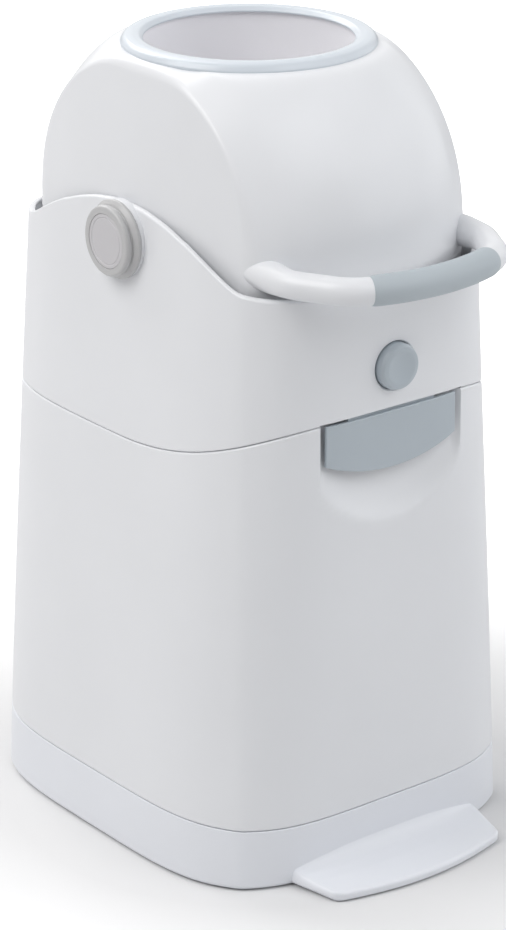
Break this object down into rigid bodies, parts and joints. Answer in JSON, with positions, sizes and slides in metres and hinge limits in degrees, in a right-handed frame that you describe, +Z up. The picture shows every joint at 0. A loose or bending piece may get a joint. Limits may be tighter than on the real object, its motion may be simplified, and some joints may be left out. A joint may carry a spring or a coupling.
{
  "type": "nappy bin",
  "caption": "Upright nappy bin with a flip-over drum, a sliding piston in its open chute, side pivot knobs, a front handle and a hinged hood with a push-button latch.",
  "frame": {"origin": "on the floor, under the middle of the object's box", "axes": "+Z up, -Y towards the front with the handle and button, +X to the right seen from the front"},
  "size_m": [0.3144, 0.427, 0.6235],
  "materials": {
    "shell_white": "smooth white moulded plastic with a soft gloss",
    "inner_white": "plain white moulded plastic, lightly textured",
    "trim_grey": "light blue-grey moulded plastic with a satin gloss",
    "grip_grey": "blue-grey soft-touch grip, matt",
    "knob_grey": "neutral light grey plastic, faintly pearled",
    "dark_rubber": "dark rubber, matt",
    "steel": "zinc-plated steel"
  },
  "bodies": {
    "bin": {"base": "shell_white", "feet": "dark_rubber", "base_screws": "steel", "bin_body": "shell_white", "catch_plate": "steel", "catch_screws": "steel", "hinge_pin": "steel"},
    "hood": {"hood_shell": "shell_white", "hood_collar": "inner_white", "collar_screws": "steel", "drum_seal": "dark_rubber", "lift_lip": "trim_grey", "lip_screws": "steel", "bush_left": "steel", "bush_right": "steel", "latch_frame": "inner_white", "latch_screws": "steel", "latch_pin": "steel", "button_springs": "steel"},
    "button": {"release_button": "trim_grey"},
    "latch": {"latch_lever": "inner_white"},
    "drum": {"drum_upper": "shell_white", "drum_lower": "shell_white", "drum_screws": "steel", "chute_tube": "inner_white", "rim_ring_top": "trim_grey", "rim_ring_bottom": "trim_grey", "handle_grip": "grip_grey", "knob_left": "knob_grey", "knob_right": "knob_grey", "knob_cap_left": "knob_grey", "knob_cap_right": "knob_grey", "knob_screws": "steel"},
    "piston": {"piston_top": "inner_white", "piston_bottom": "inner_white", "piston_seals": "dark_rubber", "piston_bolt": "steel"}
  },
  "joints": [
    {"name": "hood_hinge", "type": "hinge", "parent": "bin", "child": "hood", "pos_m": [0, 0.20554, 0.331], "axis": [-1, 0, 0], "range_deg": [0, 90]},
    {"name": "drum_flip", "type": "hinge", "parent": "hood", "child": "drum", "pos_m": [0, 0.01986, 0.484], "axis": [-1, 0, 0], "range_deg": [0, 180]},
    {"name": "piston_slide", "type": "slide", "parent": "drum", "child": "piston", "axis": [0, 0, 1], "range_m": [0, 0.232]},
    {"name": "button_press", "type": "slide", "parent": "hood", "child": "button", "axis": [0, 1, 0], "range_m": [0, 0.003], "stiffness_N_per_m": 500, "springref_m": -0.002, "deforming": ["button_springs"]},
    {"name": "latch_turn", "type": "hinge", "parent": "hood", "child": "latch", "pos_m": [0, -0.14414, 0.388], "axis": [-1, 0, 0], "range_deg": [0, 10.2]}
  ],
  "couplings": [
    {"joint": "latch_turn", "follows": "button_press", "rad_per_m": 58.8}
  ]
}
